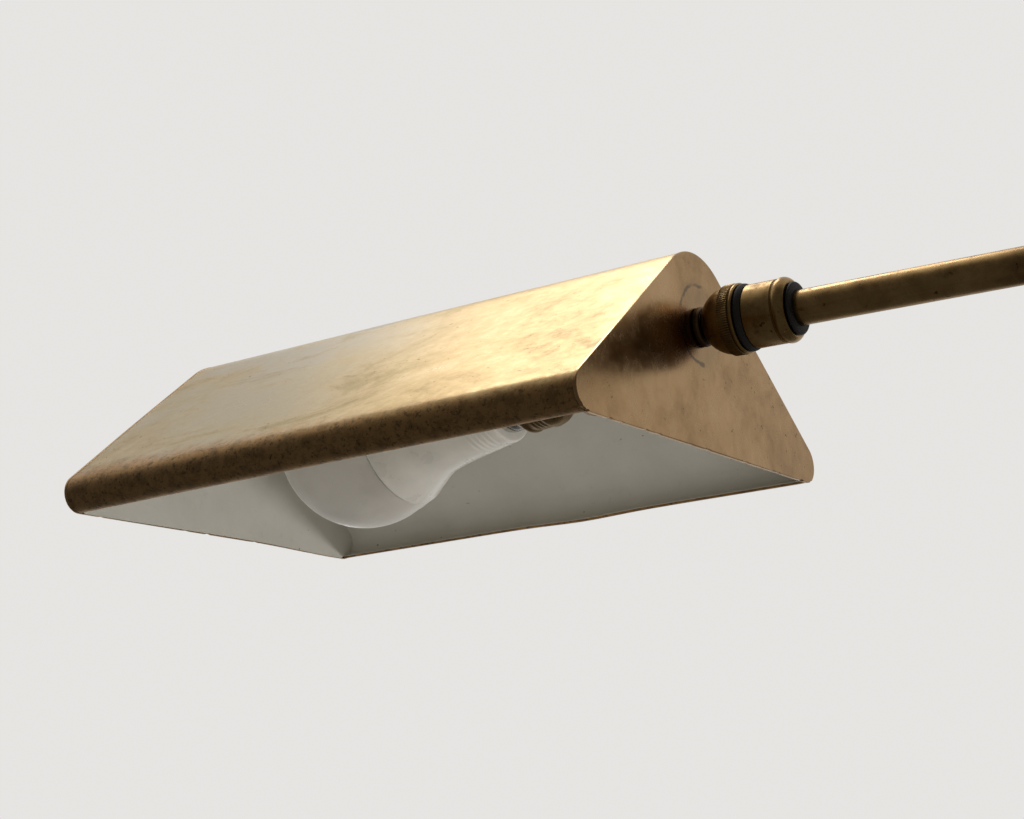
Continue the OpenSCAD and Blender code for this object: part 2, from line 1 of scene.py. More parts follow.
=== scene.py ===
"""Pharmacy floor lamp: the looks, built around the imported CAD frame.

Shapes are drawn in mm and scaled to metres when a piece is finished. Materials, lights and the camera
are in metres.
"""
import json
import math

import bmesh
import bpy
from mathutils import Matrix, Vector, noise


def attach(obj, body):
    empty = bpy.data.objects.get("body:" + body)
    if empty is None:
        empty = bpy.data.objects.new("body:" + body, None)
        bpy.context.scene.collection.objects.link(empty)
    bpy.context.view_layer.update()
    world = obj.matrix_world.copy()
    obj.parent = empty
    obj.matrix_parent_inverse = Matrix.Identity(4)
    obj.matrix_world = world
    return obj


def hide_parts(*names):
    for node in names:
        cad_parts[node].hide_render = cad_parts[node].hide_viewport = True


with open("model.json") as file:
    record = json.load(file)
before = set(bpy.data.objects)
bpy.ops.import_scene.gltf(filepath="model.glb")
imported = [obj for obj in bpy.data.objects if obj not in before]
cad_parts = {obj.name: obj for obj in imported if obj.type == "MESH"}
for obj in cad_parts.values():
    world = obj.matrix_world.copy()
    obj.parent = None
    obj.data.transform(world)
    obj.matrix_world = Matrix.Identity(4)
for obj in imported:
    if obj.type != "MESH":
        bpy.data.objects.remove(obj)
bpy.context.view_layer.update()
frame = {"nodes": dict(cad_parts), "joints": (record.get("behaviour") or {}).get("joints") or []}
MM = 0.001
scene = bpy.context.scene

# ---------------------------------------------------------------- frame facts, in mm

joints = {j["name"]: j for j in frame["joints"]}
BALL = Vector(joints["ball_tilt"]["pos_m"]) / MM
BALL_TO_PLATE = 12.4
ARM_Z = BALL.z
PLATE_X = BALL.x - BALL_TO_PLATE
ARM_R, ARM_FROM = 5.55, 26.8
ARM_TO = -PLATE_X - 26.0
# shade
LENGTH = 200.0
FAR_X = PLATE_X - LENGTH
BOTTOM_Z = ARM_Z - 39.8
HALF_BASE = 93.0
ROOF = math.radians(37.3)
CORNER_R = 6.6
RIDGE_R = 24.8
SHEET = 0.9
PLATE = 1.2
COAT = 0.2
NEAR_IN, FAR_IN = PLATE_X - PLATE, FAR_X + PLATE
SHADE_DROOP = math.radians(-1.6)
# lampholder and bulb, as distances from the near plate
HOLDER_LEAN = math.radians(-96.4)
CUP, NECK = 46.0, 75.5
MOUTH = NECK - 6.5
DOME_AT = NECK + 59.0
# pole
OUTER_R, INNER_R = 9.5, 6.35
TUBE_TOP = 760.0
DIMMER_Z = 660.0
SCREW_Z = 770.0
# where each turned piece's own axis stands
QUARTER = math.radians(90)
AT_PLATE = Matrix.Translation((PLATE_X, 0, ARM_Z))
DROOP = Matrix.Translation(BALL) @ Matrix.Rotation(SHADE_DROOP, 4, "Y") @ Matrix.Translation(-BALL)
ON_FLOOR = Matrix.Identity(4)
ON_ARM = AT_PLATE @ Matrix.Rotation(QUARTER, 4, "Y")
ON_STUD = DROOP @ ON_ARM
ON_HOLDER = DROOP @ AT_PLATE @ Matrix.Rotation(HOLDER_LEAN, 4, "Y")
ON_PIN = Matrix.Translation((0, 0, ARM_Z)) @ Matrix.Rotation(QUARTER, 4, "X")
ON_DIMMER = Matrix.Translation((0, 0, DIMMER_Z)) @ Matrix.Rotation(QUARTER, 4, "X")
ON_SCREW = Matrix.Translation((0, 0, SCREW_Z)) @ Matrix.Rotation(QUARTER, 4, "Y")

# ---------------------------------------------------------------- camera

HEADING, RISE, ROLL = math.radians(32.70), math.radians(12.64), math.radians(1.80)
EYE = (-0.0788, -0.5028, 0.9998)
forward = Vector((-math.sin(HEADING) * math.cos(RISE), math.cos(HEADING) * math.cos(RISE), math.sin(RISE)))
level = Vector((math.cos(HEADING), math.sin(HEADING), 0))
upright = level.cross(forward)
right = level * math.cos(ROLL) - upright * math.sin(ROLL)
top = upright * math.cos(ROLL) + level * math.sin(ROLL)
cam = bpy.data.objects.new("camera", bpy.data.cameras.new("camera"))
cam.data.lens = 64.4
cam.data.sensor_width = 36.0
cam.data.clip_start = 0.01
cam.data.clip_end = 60.0
cam.matrix_world = Matrix((
    (right.x, top.x, -forward.x, EYE[0]),
    (right.y, top.y, -forward.y, EYE[1]),
    (right.z, top.z, -forward.z, EYE[2]),
    (0, 0, 0, 1),
))
scene.collection.objects.link(cam)
scene.camera = cam

# ---------------------------------------------------------------- node helpers


class Tree:
    """A material's node tree with short calls for the nodes that the finishes use."""

    def __init__(self, name):
        self.material = bpy.data.materials.new(name)
        self.material.use_nodes = True
        self.nodes = self.material.node_tree.nodes
        self.links = self.material.node_tree.links
        self.shader = self.nodes["Principled BSDF"]
        self.coords = self.nodes.new("ShaderNodeTexCoord").outputs["Object"]

    def add(self, kind, **settings):
        node = self.nodes.new(kind)
        for key, value in settings.items():
            setattr(node, key, value)
        return node

    def feed(self, socket, value):
        if isinstance(value, bpy.types.NodeSocket):
            self.links.new(value, socket)
        elif isinstance(value, tuple) and len(value) == 3 and socket.type == "RGBA":
            socket.default_value = (*value, 1)
        else:
            socket.default_value = value

    def place(self, scale=(1, 1, 1), shift=(0, 0, 0), turn=(0, 0, 0)):
        node = self.add("ShaderNodeMapping")
        self.links.new(self.coords, node.inputs["Vector"])
        node.inputs["Scale"].default_value = scale
        node.inputs["Location"].default_value = shift
        node.inputs["Rotation"].default_value = turn
        return node.outputs[0]

    def noise(self, scale, detail=4.0, rough=0.55, coords=None, distortion=0.0):
        node = self.add("ShaderNodeTexNoise")
        self.links.new(coords or self.coords, node.inputs["Vector"])
        node.inputs["Scale"].default_value = scale
        node.inputs["Detail"].default_value = detail
        node.inputs["Roughness"].default_value = rough
        node.inputs["Distortion"].default_value = distortion
        return node.outputs["Fac"]

    def remap(self, value, a, b, c=0.0, d=1.0):
        node = self.add("ShaderNodeMapRange", interpolation_type="SMOOTHSTEP")
        self.feed(node.inputs["Value"], value)
        for key, number in zip(("From Min", "From Max", "To Min", "To Max"), (a, b, c, d)):
            node.inputs[key].default_value = number
        return node.outputs[0]

    def math(self, operation, a, b=0.0, clamp=False):
        node = self.add("ShaderNodeMath", operation=operation, use_clamp=clamp)
        self.feed(node.inputs[0], a)
        self.feed(node.inputs[1], b)
        return node.outputs[0]

    def product(self, a, b):
        return self.math("MULTIPLY", a, b)

    def blend(self, *parts):
        """Sum of values, each with its weight."""
        total = None
        for value, weight in parts:
            share = self.product(value, weight)
            total = share if total is None else self.math("ADD", total, share)
        return total

    def mix(self, share, a, b):
        node = self.add("ShaderNodeMix", data_type="RGBA")
        self.feed(node.inputs["Factor"], share)
        self.feed(node.inputs[6], a)
        self.feed(node.inputs[7], b)
        return node.outputs[2]

    def ramp(self, value, stops):
        node = self.add("ShaderNodeValToRGB")
        self.feed(node.inputs[0], value)
        parts = node.color_ramp.elements
        while len(parts) < len(stops):
            parts.new(0.5)
        for part, (at, colour) in zip(parts, stops):
            part.position = at
            part.color = (*colour, 1)
        return node.outputs[0]

    def split(self):
        node = self.add("ShaderNodeSeparateXYZ")
        self.links.new(self.coords, node.inputs[0])
        return node.outputs

    def attribute(self, name):
        return self.add("ShaderNodeAttribute", attribute_name=name).outputs["Fac"]

    def creases(self, reach):
        """1 in narrow corners and joints, 0 on open faces."""
        node = self.add("ShaderNodeAmbientOcclusion", samples=6)
        node.inputs["Distance"].default_value = reach
        return self.remap(node.outputs["AO"], 0.85, 0.35)

    def bump(self, height, distance, strength=1.0):
        node = self.add("ShaderNodeBump")
        self.feed(node.inputs["Height"], height)
        node.inputs["Distance"].default_value = distance
        node.inputs["Strength"].default_value = strength
        if self.shader.inputs["Normal"].links:
            self.links.new(self.shader.inputs["Normal"].links[0].from_socket, node.inputs["Normal"])
        self.links.new(node.outputs[0], self.shader.inputs["Normal"])

    def set(self, **values):
        for key, value in values.items():
            self.feed(self.shader.inputs[key.replace("_", " ")], value)


# ---------------------------------------------------------------- finishes


def aged_brass(name, pale, brown, dark, rough=(0.24, 0.42), grain=(1, 1, 1), seed=0.0, size=1.0, stain=0.5):
    """Old lacquered brass: clouded tone, brushing, dark pin specks, dirt in knurl grooves, painted shade in
    creases and joints, and rougher where it is stained.
    """
    t = Tree(name)
    t.coords = t.place(shift=(seed, seed * 0.7, seed * 1.3))
    cloud = t.noise(34 * size, 5, 0.62)
    patch = t.noise(110 * size, 6, 0.66, distortion=0.4)
    fine = t.noise(900, 3, 0.6)
    brushed = t.noise(420, 3, 0.6, coords=t.place(scale=grain))
    tone = t.blend((cloud, 0.5), (patch, 0.5), (t.math("SUBTRACT", brushed, 0.5), 0.16))
    colour = t.ramp(tone, [(0.34, dark), (0.49, brown), (0.63, pale)])
    specks = t.product(t.remap(t.noise(520, 2, 0.5), 0.66, 0.74), t.remap(patch, 0.62, 0.38))
    stains = t.product(t.remap(t.noise(62, 5, 0.7), 0.58, 0.7), stain)
    colour = t.mix(t.product(specks, 0.75), colour, tuple(c * 0.18 for c in dark))
    colour = t.mix(stains, colour, tuple(c * 0.55 for c in dark))
    # darker in knurl grooves (dirt) and, from an occlusion mask, in narrow creases and joints (painted shade)
    groove_dirt_and_crease_shade = t.math("MAXIMUM", t.attribute("groove"), t.product(t.creases(0.0022), 0.8))
    colour = t.mix(t.product(groove_dirt_and_crease_shade, 0.85), colour, tuple(c * 0.2 for c in dark))
    low, high = rough
    roughness = t.math("ADD", t.remap(patch, 0.35, 0.65, low, high), t.product(stains, 0.15))
    soiled = t.product(t.math("MAXIMUM", specks, groove_dirt_and_crease_shade), 0.25)
    roughness = t.math("ADD", roughness, soiled, clamp=True)
    t.set(Metallic=1.0, Base_Color=colour, Roughness=roughness)
    t.bump(brushed, 0.00003, 0.5)
    t.bump(t.math("SUBTRACT", fine, specks), 0.00004, 0.6)
    return t.material


PALE = (0.66, 0.44, 0.19)
DULL_PALE = (0.58, 0.38, 0.16)
BROWN = (0.46, 0.285, 0.115)
DARK = (0.25, 0.15, 0.06)

pole_brass = aged_brass("pole_brass", PALE, BROWN, DARK, grain=(1, 1, 0.04), seed=1.3, stain=0.35)
arm_brass = aged_brass("arm_brass", PALE, BROWN, DARK, grain=(0.04, 1, 1), seed=2.1, stain=0.5)
base_brass = aged_brass("base_brass", PALE, BROWN, DARK, rough=(0.26, 0.44), seed=4.7, size=0.6)
knob_brass = aged_brass("knob_brass", PALE, BROWN, DARK, seed=5.9, stain=0.4)
knuckle_brass = aged_brass("knuckle_brass", DULL_PALE, BROWN, DARK, seed=3.3, stain=0.6)
coupling_brass = aged_brass(
    "coupling_brass", DULL_PALE, (0.42, 0.26, 0.10), (0.2, 0.12, 0.05), rough=(0.24, 0.38), seed=7.7, stain=0.6
)
# the stud's brass is made very dark: partly tarnish, partly painted shade for its shadowed place between the
# cap and the plate
stud_brass = aged_brass(
    "stud_brass", (0.3, 0.19, 0.09), (0.18, 0.11, 0.055), (0.08, 0.05, 0.03), rough=(0.35, 0.5), seed=8.8
)
holder_brass = aged_brass("holder_brass", (0.52, 0.36, 0.14), (0.36, 0.23, 0.09), (0.18, 0.11, 0.045), seed=9.2)
contact_brass = aged_brass("contact_brass", (0.75, 0.58, 0.3), PALE, BROWN, seed=6.1)


# where marks, painted sheen and painted shade on the shade begin and where they are full, in metres in the
# shared frame
DULL_X, HAZE_AND_SHEEN_X, HAZE_AND_SHEEN_Z = (-0.385, -0.46), (-0.39, -0.48), (1.135, 1.165)
SHADE_AND_STAIN_BAND_Z = (1.1225, 1.1165)
MIDDLE_X = -0.45
# radius of the mark worn around the stud on the near plate, in metres
RING_R = 0.0132


def shade_finish():
    """The bent sheet: pale satin slopes with olive streaks, and a dark band along the lower corners, partly
    stains and partly painted shade.
    """
    t = Tree("shade_brass")
    x, _, z = t.split()
    cloud = t.noise(22, 5, 0.6, distortion=0.6)
    streak = t.noise(46, 7, 0.68, coords=t.place(scale=(0.42, 1, 1), turn=(0, 0, 0.1)), distortion=0.7)
    patch = t.noise(150, 6, 0.66, distortion=0.3)
    fine = t.noise(1100, 3, 0.6)
    brushed = t.noise(700, 3, 0.6, coords=t.place(scale=(0.05, 1, 1)))
    mottle = t.noise(330, 4, 0.7, coords=t.place(scale=(0.7, 1, 1)), distortion=0.5)
    tone = t.blend((cloud, 0.3), (streak, 0.3), (patch, 0.2), (mottle, 0.2))
    colour = t.ramp(tone, [
        (0.40, (0.40, 0.285, 0.12)), (0.46, (0.54, 0.385, 0.17)),
        (0.53, (0.61, 0.44, 0.20)), (0.60, (0.70, 0.53, 0.28)),
    ])
    # the patina is greyer towards the far end; high on the slopes there a pale grey patch is lacquer haze and
    # painted sheen
    dull = t.product(t.remap(x, *DULL_X), t.remap(streak, 0.36, 0.6, 0.35, 0.85))
    colour = t.mix(dull, colour, (0.50, 0.425, 0.29))
    haze_and_painted_sheen = t.product(t.remap(x, *HAZE_AND_SHEEN_X), t.remap(z, *HAZE_AND_SHEEN_Z))
    haze_and_painted_sheen = t.product(haze_and_painted_sheen, t.remap(cloud, 0.4, 0.56))
    colour = t.mix(t.product(haze_and_painted_sheen, 0.75), colour, (0.52, 0.465, 0.385))
    # olive streaks in the middle of the slopes
    from_middle = t.math("ABSOLUTE", t.math("ADD", x, -MIDDLE_X))
    mid = t.product(t.remap(from_middle, 0.07, 0.02), t.remap(streak, 0.5, 0.36))
    colour = t.mix(t.product(mid, 0.5), colour, (0.3, 0.225, 0.09))
    # lower band, darker as painted shade and marked with stains, blots, dots and chips, with an uneven upper
    # edge
    ragged = t.product(t.math("SUBTRACT", patch, 0.5), 0.008)
    shade_and_stain_band = t.remap(t.math("ADD", z, ragged), *SHADE_AND_STAIN_BAND_Z)
    blots = t.remap(t.noise(230, 6, 0.8), 0.44, 0.6)
    dots = t.remap(t.noise(620, 3, 0.7), 0.54, 0.66)
    shade_and_stain_band_colour = t.mix(t.product(blots, 0.65), (0.52, 0.30, 0.12), (0.2, 0.115, 0.05))
    shade_and_stain_band_colour = t.mix(t.product(dots, 0.7), shade_and_stain_band_colour, (0.07, 0.043, 0.022))
    chips = t.product(t.remap(t.noise(105, 4, 0.75, distortion=0.8), 0.66, 0.7), 0.8)
    shade_and_stain_band_colour = t.mix(chips, shade_and_stain_band_colour, (0.03, 0.022, 0.014))
    colour = t.mix(t.product(shade_and_stain_band, 0.9), colour, shade_and_stain_band_colour)
    specks = t.product(t.remap(t.noise(600, 2, 0.5), 0.68, 0.75), t.remap(streak, 0.6, 0.42))
    colour = t.mix(t.product(specks, 0.6), colour, (0.12, 0.085, 0.045))
    rough = t.math("ADD", t.remap(tone, 0.38, 0.62, 0.42, 0.27), t.product(shade_and_stain_band, 0.1))
    rough = t.math("ADD", rough, t.product(specks, 0.15), clamp=True)
    t.set(Metallic=1.0, Base_Color=colour, Roughness=rough)
    t.bump(t.noise(14, 2, 0.5), 0.0006, 0.25)
    t.bump(mottle, 0.00012, 0.45)
    t.bump(brushed, 0.00002, 0.5)
    t.bump(t.math("SUBTRACT", fine, t.product(dots, shade_and_stain_band)), 0.00004, 0.5)
    return t.material


def plate_finish():
    """The flat end plates: browner, mottled, with broken arcs worn around the stud, and painted shade close
    around it.
    """
    t = Tree("plate_brass")
    _, y, z = t.split()
    cloud = t.noise(26, 5, 0.62, distortion=0.5)
    patch = t.noise(120, 7, 0.7, distortion=0.4)
    fine = t.noise(1000, 3, 0.6)
    rubbed = t.noise(320, 5, 0.65, coords=t.place(scale=(1, 0.6, 0.35), turn=(0.5, 0, 0)), distortion=0.5)
    tone = t.blend((cloud, 0.5), (patch, 0.35), (rubbed, 0.15))
    colour = t.ramp(tone, [
        (0.40, (0.38, 0.225, 0.095)), (0.47, (0.50, 0.305, 0.135)),
        (0.53, (0.58, 0.365, 0.17)), (0.60, (0.64, 0.42, 0.21)),
    ])
    rise = t.math("SUBTRACT", z, ARM_Z * MM)
    radius = t.math("SQRT", t.math("ADD", t.product(y, y), t.math("POWER", rise, 2)))
    wander = t.product(t.math("SUBTRACT", t.noise(70, 3), 0.5), 0.006)
    off_ring = t.math("ABSOLUTE", t.math("SUBTRACT", t.math("ADD", radius, wander), RING_R))
    breaks = t.noise(62, 3, 0.6, coords=t.place(shift=(0.3, 0.11, 0.2)))
    ring = t.product(t.remap(off_ring, 0.0009, 0.0003), t.remap(breaks, 0.47, 0.56))
    colour = t.mix(t.product(ring, 0.8), colour, (0.12, 0.085, 0.055))
    # painted shade: darker within about 19 mm of the stud, where the coupling shades and darkly reflects in the
    # plate
    colour = t.mix(t.remap(radius, 0.019, 0.009, 0, 0.35), colour, (0.2, 0.14, 0.08))
    specks = t.product(t.remap(t.noise(560, 2, 0.5), 0.68, 0.75), t.remap(cloud, 0.58, 0.42))
    colour = t.mix(t.product(specks, 0.7), colour, (0.1, 0.07, 0.04))
    rough = t.math("ADD", t.remap(patch, 0.35, 0.65, 0.2, 0.29), t.product(specks, 0.15), clamp=True)
    t.set(Metallic=1.0, Base_Color=colour, Roughness=rough)
    t.bump(t.noise(9, 1, 0.5), 0.0003, 0.12)
    t.bump(t.math("ADD", rubbed, fine), 0.00002, 0.5)
    return t.material


def enamel_finish():
    """Old white enamel: faint clouding, small rust pits and an uneven gloss."""
    t = Tree("enamel")
    cloud = t.noise(18, 5, 0.6)
    dust = t.noise(240, 6, 0.7)
    colour = t.ramp(cloud, [(0.35, (0.50, 0.475, 0.41)), (0.65, (0.58, 0.555, 0.49))])
    colour = t.mix(t.remap(dust, 0.58, 0.72, 0, 0.35), colour, (0.42, 0.4, 0.35))
    pits = t.product(t.remap(t.noise(330, 2, 0.5), 0.73, 0.77), t.remap(cloud, 0.62, 0.45))
    colour = t.mix(pits, colour, (0.16, 0.09, 0.05))
    t.set(Base_Color=colour, Roughness=t.remap(dust, 0.35, 0.65, 0.42, 0.6), Specular_IOR_Level=0.45)
    t.bump(t.noise(160, 3, 0.5), 0.0001, 0.35)
    t.bump(pits, 0.0001, -0.6)
    return t.material


def plastic(name, colour, rough, speck, mark, subsurface=0.0, coat=0.0):
    """Moulded plastic with a fine skin texture and scuffs."""
    t = Tree(name)
    cloud = t.noise(60, 4, 0.6)
    skin = t.noise(1400, 3, 0.6)
    scuffs = t.product(t.remap(t.noise(240, 5, 0.75, distortion=1.2), 0.6, 0.7), mark)
    tone = t.mix(t.remap(cloud, 0.35, 0.65), tuple(c * 0.88 for c in colour), colour)
    tone = t.mix(scuffs, tone, speck)
    t.set(Base_Color=tone, Roughness=t.remap(cloud, 0.3, 0.7, rough - 0.06, rough + 0.08))
    if subsurface:
        t.set(Subsurface_Weight=subsurface, Subsurface_Scale=0.004, Subsurface_Radius=(1.0, 0.95, 0.85))
    if coat:
        t.set(Coat_Weight=coat, Coat_Roughness=0.15)
    t.bump(skin, 0.00003, 0.4)
    return t.material


def frosted_finish():
    """Frosted dome: satin, faintly translucent, with fine dust."""
    t = Tree("frosted_dome")
    cloud = t.noise(50, 4, 0.6)
    dust = t.noise(700, 4, 0.7)
    colour = t.mix(t.remap(cloud, 0.35, 0.65), (0.50, 0.455, 0.395), (0.56, 0.515, 0.45))
    colour = t.mix(t.remap(dust, 0.62, 0.75, 0, 0.3), colour, (0.45, 0.41, 0.36))
    t.set(Base_Color=colour, Roughness=t.remap(dust, 0.3, 0.7, 0.3, 0.42), Subsurface_Weight=0.5)
    t.set(Subsurface_Scale=0.006, Subsurface_Radius=(1.0, 0.9, 0.75))
    t.set(Sheen_Weight=1.0, Sheen_Roughness=0.2, Sheen_Tint=(1.0, 0.98, 0.94))
    t.bump(t.noise(1800, 2, 0.5), 0.00002, 0.4)
    return t.material


def steel_finish(name, colour, rough):
    """Plated steel with turning marks and faint spotting."""
    t = Tree(name)
    marks = t.noise(500, 4, 0.65, coords=t.place(scale=(1, 1, 0.1)))
    spots = t.remap(t.noise(180, 5, 0.7), 0.6, 0.72)
    tone = t.mix(t.remap(marks, 0.3, 0.7), tuple(c * 0.8 for c in colour), colour)
    tone = t.mix(t.product(spots, 0.6), tone, (0.25, 0.2, 0.15))
    t.set(Metallic=1.0, Base_Color=tone, Roughness=t.remap(marks, 0.3, 0.7, rough, rough + 0.15))
    t.bump(marks, 0.00003, 0.5)
    return t.material


def iron_finish():
    """Rough black-painted casting."""
    t = Tree("iron")
    grit = t.noise(420, 6, 0.75)
    tone = t.mix(t.remap(grit, 0.35, 0.65), (0.02, 0.02, 0.022), (0.06, 0.058, 0.055))
    tone = t.mix(t.remap(t.noise(50, 5, 0.7), 0.6, 0.72, 0, 0.7), tone, (0.11, 0.055, 0.03))
    t.set(Base_Color=tone, Roughness=t.remap(grit, 0.3, 0.7, 0.6, 0.85))
    t.bump(grit, 0.0004, 0.8)
    return t.material


def felt_finish():
    """Pressed felt with matted fibres."""
    t = Tree("felt")
    fibre = t.noise(900, 6, 0.8, distortion=2.5)
    tone = t.mix(t.remap(fibre, 0.3, 0.7), (0.05, 0.075, 0.055), (0.11, 0.14, 0.115))
    t.set(Base_Color=tone, Roughness=0.95, Sheen_Weight=0.6, Sheen_Roughness=0.5)
    t.bump(fibre, 0.0005, 0.9)
    return t.material


shade_brass = shade_finish()
plate_brass = plate_finish()
enamel = enamel_finish()
frosted_dome = frosted_finish()
bulb_plastic = plastic(
    "bulb_plastic", (0.64, 0.60, 0.53), 0.3, (0.5, 0.46, 0.4), 0.25, subsurface=0.25, coat=0.3
)
black_plastic = plastic("black_plastic", (0.022, 0.02, 0.021), 0.42, (0.09, 0.08, 0.07), 0.5)
gasket_black = plastic("gasket_black", (0.012, 0.011, 0.010), 0.62, (0.028, 0.024, 0.02), 0.4)
white_plastic = plastic("white_plastic", (0.74, 0.71, 0.63), 0.45, (0.4, 0.36, 0.3), 0.4)
insulation = plastic("insulation", (0.62, 0.55, 0.42), 0.7, (0.3, 0.24, 0.16), 0.6)
black_glass = plastic("black_glass", (0.01, 0.01, 0.012), 0.12, (0.05, 0.05, 0.05), 0.3)
board = plastic("board", (0.82, 0.8, 0.74), 0.4, (0.5, 0.5, 0.4), 0.3)
steel = steel_finish("steel", (0.62, 0.6, 0.57), 0.25)
nickel = steel_finish("nickel", (0.72, 0.69, 0.64), 0.18)
iron = iron_finish()
felt = felt_finish()

# ---------------------------------------------------------------- shape helpers


def arc(cx, cy, r, start, end, n):
    """Points of an arc, angles in degrees."""
    steps = [math.radians(start + (end - start) * i / n) for i in range(n + 1)]
    return [(cx + r * math.cos(a), cy + r * math.sin(a)) for a in steps]


def eased(loop, radius):
    """The closed loop with each corner sharper than 20 degrees rounded, except on the axis."""
    out, count, steps = [], len(loop), 3
    for i, p in enumerate(loop):
        here = Vector(p)
        before, after = Vector(loop[i - 1]), Vector(loop[(i + 1) % count])
        u, v = before - here, after - here
        sharp = u.length > 1e-6 and v.length > 1e-6 and math.pi - u.angle(v) > math.radians(20)
        if not sharp or abs(here.x) < 1e-6:
            out.append(tuple(here))
            continue
        a = here + u.normalized() * min(radius, u.length * 0.4)
        b = here + v.normalized() * min(radius, v.length * 0.4)
        for k in range(steps + 1):
            s = k / steps
            out.append(tuple(a * (1 - s) ** 2 + here * 2 * s * (1 - s) + b * s ** 2))
    return out


def finish_piece(name, bm, body, nodes, material, sharp=34.0):
    """Turns the bmesh into a piece: mm to metres, welded, outward faces, smooth shading."""
    bmesh.ops.remove_doubles(bm, verts=bm.verts, dist=0.002)
    bmesh.ops.recalc_face_normals(bm, faces=bm.faces)
    bmesh.ops.scale(bm, vec=(MM, MM, MM), verts=bm.verts)
    mesh = bpy.data.meshes.new(name)
    bm.to_mesh(mesh)
    bm.free()
    mesh.shade_smooth()
    mesh.set_sharp_from_angle(angle=math.radians(sharp))
    piece = bpy.data.objects.new(name, mesh)
    scene.collection.objects.link(piece)
    mesh.materials.append(material)
    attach(piece, body)
    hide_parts(*nodes)
    return piece


def turn(bm, place, loop, segments=96, grip=None, thread=None):
    """Adds a turned ring whose section is the closed loop of (radius, height).
    grip = (low, high, least radius, depth, teeth, twist) cuts a knurl between two heights.
    thread = (low, high, least radius, depth, pitch) winds a rounded thread there."""
    groove = bm.verts.layers.float.get("groove") or bm.verts.layers.float.new("groove")
    rings = []
    for k in range(segments):
        a = 2 * math.pi * k / segments
        row = []
        for r, h in loop:
            depth = 0.0
            if grip and grip[0] <= h <= grip[1] and r > grip[2]:
                phase = (a * grip[4] / (2 * math.pi) + grip[5] * (h - grip[0])) % 1.0
                depth = abs(2 * phase - 1) ** 1.3
                r = r - grip[3] * depth
            if thread and thread[0] <= h <= thread[1] and r > thread[2]:
                depth = 0.5 + 0.5 * math.cos(2 * math.pi * h / thread[4] - a)
                r = r - thread[3] * depth
            row.append(bm.verts.new(place @ Vector((r * math.cos(a), r * math.sin(a), h))))
            row[-1][groove] = depth ** 2
        rings.append(row)
    count = len(loop)
    for k in range(segments):
        here, there = rings[k], rings[(k + 1) % segments]
        for i in range(count):
            j = (i + 1) % count
            if loop[i][0] < 1e-6 and loop[j][0] < 1e-6:
                continue
            corners = [here[i], here[j], there[j], there[i]]
            if loop[i][0] < 1e-6:
                corners = [here[i], here[j], there[j]]
            elif loop[j][0] < 1e-6:
                corners = [here[i], here[j], there[i]]
            bm.faces.new(corners)


def turned(name, place, loop, body, material, segments=96, grip=None, thread=None, ease=0.25):
    """A turned piece that stands for the CAD node of the same name."""
    bm = bmesh.new()
    turn(bm, place, eased(loop, ease), segments, grip, thread)
    return finish_piece(name, bm, body, [name.replace("look_", "")], material)


def refined(node, body, material, width):
    """A copy of a CAD node's shape with its edges broken by a small bevel."""
    source = frame["nodes"][node].data
    bm = bmesh.new()
    bm.from_mesh(source)
    bmesh.ops.scale(bm, vec=(1 / MM, 1 / MM, 1 / MM), verts=bm.verts)
    bmesh.ops.remove_doubles(bm, verts=bm.verts, dist=0.002)
    bmesh.ops.dissolve_limit(bm, angle_limit=math.radians(0.4), verts=bm.verts, edges=bm.edges)
    edges = [e for e in bm.edges if len(e.link_faces) == 2 and e.calc_face_angle(0) > math.radians(28)]
    bmesh.ops.bevel(
        bm, geom=edges, offset=width, segments=2, profile=0.6,
        affect="EDGES", clamp_overlap=True, loop_slide=True,
    )
    return finish_piece("look_" + node, bm, body, [node], material, 32.0)


# ---------------------------------------------------------------- shade

CORNER_X = HALF_BASE - CORNER_R / math.tan(ROOF / 2)
RIDGE_Z = HALF_BASE * math.tan(ROOF) - RIDGE_R / math.cos(ROOF)
FLAT_STEPS = 22
EDGE_STEPS = 90
# how far the hand-bent sheet strays from the drawn section, in mm
BACK_DRAWN, FRONT_DRAWN, LIP_BOWED, LIP_DIP = 4.4, 1.0, 0.9, 0.7


def section(inset):
    """Path of the shade's section from the left lower edge to the right one, evenly stepped on the slopes."""
    slope = math.degrees(ROOF)
    left = arc(-CORNER_X, CORNER_R, CORNER_R - inset, 270, 90 + slope, 18)
    crown = arc(0, RIDGE_Z, RIDGE_R - inset, 90 + slope, 90 - slope, 26)
    flat = [tuple(Vector(left[-1]).lerp(Vector(crown[0]), i / FLAT_STEPS)) for i in range(1, FLAT_STEPS)]
    path = left + flat + crown
    mirrored = [(-y, z) for y, z in reversed(path[: len(left) + FLAT_STEPS - 1])]
    return path + mirrored


def smooth(v, a, b):
    """0 below a, 1 above b, and an even S between them."""
    t = max(0.0, min(1.0, (v - a) / (b - a)))
    return t * t * (3 - 2 * t)


def on_shade(x, y, z):
    """A point of the shade, hung from the ball. The hand-bent sheet draws in a little at its far lower corners,
    and its back lip bows down slightly."""
    s = max(0.0, min(1.0, (PLATE_X - x) / LENGTH))
    low = 1 - smooth(z, 2, 46)
    back, front = smooth(y, 15, 70), smooth(-y, 15, 70)
    y += low * (-BACK_DRAWN * s * s * back + FRONT_DRAWN * s ** 4 * front)
    z += low * back * (-LIP_BOWED * s * s - LIP_DIP * math.exp(-((s - 0.45) / 0.09) ** 2))
    return DROOP @ Vector((x, y, BOTTOM_Z + z))


